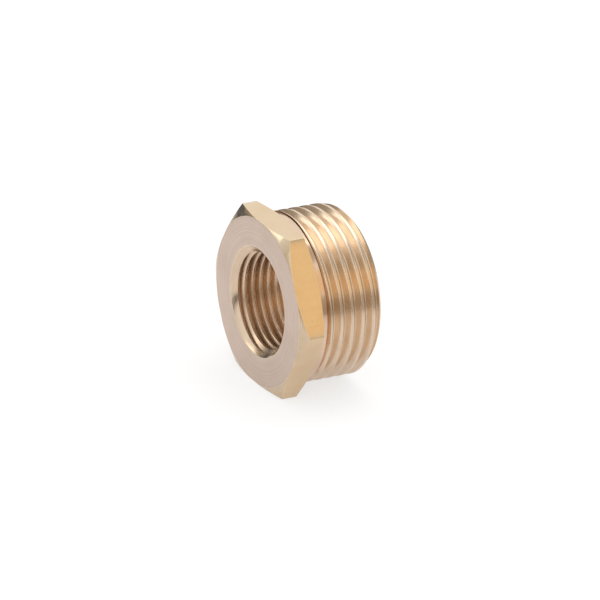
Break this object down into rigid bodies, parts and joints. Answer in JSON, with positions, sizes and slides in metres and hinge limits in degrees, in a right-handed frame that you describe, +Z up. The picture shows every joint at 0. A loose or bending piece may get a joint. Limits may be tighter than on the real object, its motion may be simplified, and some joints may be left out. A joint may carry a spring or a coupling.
{
  "type": "hex bushing",
  "caption": "Brass reducing bushing for pipe: thin hexagon head, short collar, male parallel thread outside and a smaller female thread through the middle.",
  "frame": {"origin": "on the thread axis at the head's shoulder, where the back cone of the hexagon meets the collar", "axes": "+X along the axis from the shoulder to the free end of the male thread, with the hexagon head towards -X; +Z up, away from the flat that the bushing lies on; +Y towards a corner of the hexagon"},
  "size_m": [0.0145, 0.03, 0.0262],
  "materials": {
    "brass": "satin, as turned and milled"
  },
  "bodies": {
    "root": {"hex_bushing": "brass"}
  },
  "joints": []
}
